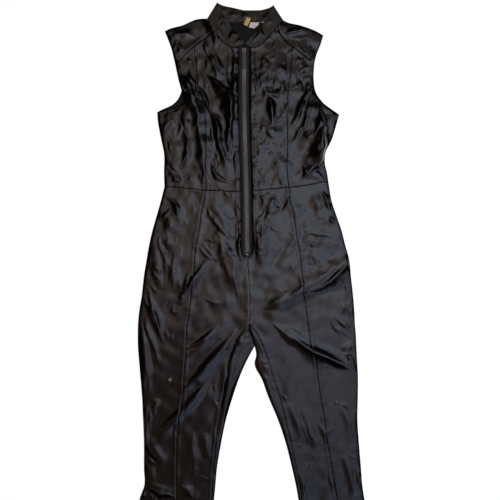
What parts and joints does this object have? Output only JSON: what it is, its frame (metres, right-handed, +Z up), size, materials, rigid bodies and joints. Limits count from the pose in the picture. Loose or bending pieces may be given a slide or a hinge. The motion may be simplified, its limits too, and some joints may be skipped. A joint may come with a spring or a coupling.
{
  "type": "jumpsuit",
  "caption": "Sleeveless zip-front jumpsuit in glossy black satin with a stand collar and princess seams, laid flat and face up.",
  "frame": {"origin": "middle of the garment's bounding box, on the surface that it lies on", "axes": "+X to the wearer's left, +Y from the hems to the collar, +Z up from the surface through the front of the garment"},
  "size_m": [0.5761, 1.4926, 0.0097],
  "materials": {
    "black_satin": "glossy black stretch satin",
    "collar_cloth": "matt black-grey, the cloth's dull side",
    "zip_tape": "matt woven tape",
    "zip_metal": "dark nickel",
    "pull_metal": "smooth dark grey",
    "yellow_ribbon": "woven ribbon",
    "white_label": "matt woven label"
  },
  "bodies": {
    "garment": {"back_bodice": "black_satin", "leg_back_left": "black_satin", "leg_back_right": "black_satin", "bodice_front_left": "black_satin", "bodice_front_right": "black_satin", "bodice_side_left": "black_satin", "bodice_side_right": "black_satin", "yoke_left": "black_satin", "yoke_right": "black_satin", "armhole_band_left": "black_satin", "armhole_band_right": "black_satin", "leg_front_left": "black_satin", "leg_front_right": "black_satin", "leg_side_left": "black_satin", "leg_side_right": "black_satin", "collar_left": "collar_cloth", "collar_right": "collar_cloth", "zip_tape_left": "zip_tape", "zip_tape_right": "zip_tape", "zip_chain": "zip_metal", "zip_slider": "zip_metal", "zip_bottom_stop": "zip_metal", "neck_label": "yellow_ribbon", "care_label": "white_label"},
    "zip_pull": {"zip_pull": "pull_metal"}
  },
  "joints": [
    {"name": "zip_pull_hinge", "type": "hinge", "parent": "garment", "child": "zip_pull", "pos_m": [-0.031, 0.627, 0.00675], "axis": [-1, 0, 0], "range_deg": [0, 140]}
  ]
}
